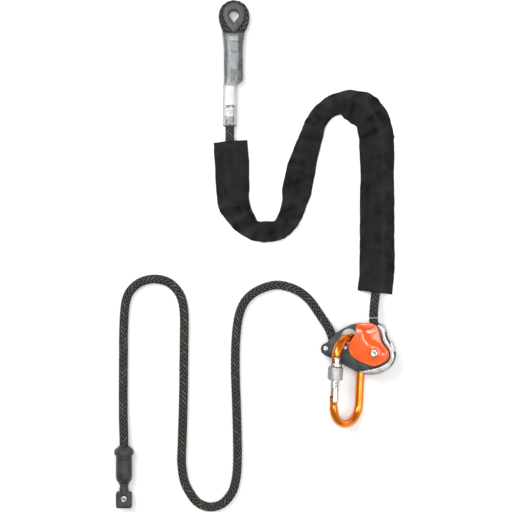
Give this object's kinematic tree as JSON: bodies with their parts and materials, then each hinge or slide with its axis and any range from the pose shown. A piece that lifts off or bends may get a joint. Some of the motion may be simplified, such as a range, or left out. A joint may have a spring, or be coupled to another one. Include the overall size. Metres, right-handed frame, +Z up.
{
  "type": "rope grab",
  "caption": "Rope grab with a lever-released cam and a screw-gate connector, on its rope lanyard with a sewn thimble eye, a fabric sleeve and an end stopper.",
  "frame": {"origin": "under the middle of the grab and its connector, on the surface that the lanyard lies on", "axes": "+Z up from the surface, +Y along the connector from its hinge end to the grab, +X from the tail side of the grab to its cam side"},
  "size_m": [0.3462, 0.6306, 0.0477],
  "materials": {
    "cast_aluminium": "satin",
    "dark_anodised": "satin",
    "orange_lever": "gloss",
    "orange_anodised": "gloss",
    "bright_alloy": "satin",
    "steel": "satin",
    "braided_rope": "matt",
    "sleeve_fabric": "matt",
    "thimble_plastic": "matt",
    "clear_cover": "gloss",
    "label": "matt",
    "printed_band": "satin",
    "stopper_rubber": "matt",
    "tab_rubber": "matt"
  },
  "bodies": {
    "grab": {"frame": "cast_aluminium", "front_plate": "dark_anodised", "axle": "steel", "axle_nut": "steel", "return_spring": "steel", "tip_screw": "steel", "tip_spacer": "steel", "tip_nut": "steel", "guide_post": "steel", "brake_shoe": "steel", "tab_eyelet": "steel", "rope_in_grab": "braided_rope", "rope_tail": "braided_rope", "rope_line": "braided_rope", "fabric_sleeve": "sleeve_fabric", "thimble": "thimble_plastic", "shrink_cover": "clear_cover", "grey_label": "label", "white_label": "label", "printed_band": "printed_band", "stopper": "stopper_rubber", "stopper_tab": "tab_rubber"},
    "lever": {"lever": "orange_lever", "cam": "steel", "drive_pin_1": "steel", "drive_pin_2": "steel"},
    "link": {"link_body": "orange_anodised", "gate_rivet": "steel"},
    "gate": {"gate": "bright_alloy", "gate_spring": "steel"},
    "plunger": {"gate_plunger": "steel"},
    "sleeve_ring": {"sleeve_ring": "bright_alloy"},
    "lock_sleeve": {"lock_sleeve": "bright_alloy"}
  },
  "joints": [
    {"name": "lever_release", "type": "hinge", "parent": "grab", "child": "lever", "pos_m": [0.0209, 0.0279, 0.0264], "axis": [0.2504, 0, -0.9681], "range_deg": [0, 45], "stiffness_Nm_per_rad": 0.12, "springref_deg": -20.05},
    {"name": "link_swing", "type": "hinge", "parent": "grab", "child": "link", "pos_m": [-0.0094, 0.0464, 0.01856], "axis": [-0.2504, 0, 0.9681], "range_deg": [-10, 6]},
    {"name": "gate_swing", "type": "hinge", "parent": "link", "child": "gate", "pos_m": [-0.03093, -0.02866, 0.03849], "axis": [-0.705, 0.0345, -0.7083], "range_deg": [0, 12], "stiffness_Nm_per_rad": 0.1, "springref_deg": -20.05},
    {"name": "plunger_travel", "type": "slide", "parent": "gate", "child": "plunger", "axis": [0.0489, 0.9988, 0], "range_m": [0, 0.0005]},
    {"name": "sleeve_travel", "type": "slide", "parent": "gate", "child": "sleeve_ring", "axis": [0.0489, 0.9988, 0], "range_m": [0, 0.003]},
    {"name": "sleeve_turn", "type": "hinge", "parent": "sleeve_ring", "child": "lock_sleeve", "pos_m": [-0.02934, 0.0038, 0.03849], "axis": [0.0489, 0.9988, 0], "range_deg": [0, 360]}
  ],
  "couplings": [
    {"joint": "plunger_travel", "follows": "gate_swing", "m_per_rad": 0.002387},
    {"joint": "sleeve_turn", "follows": "sleeve_travel", "rad_per_m": 2094.4}
  ]
}
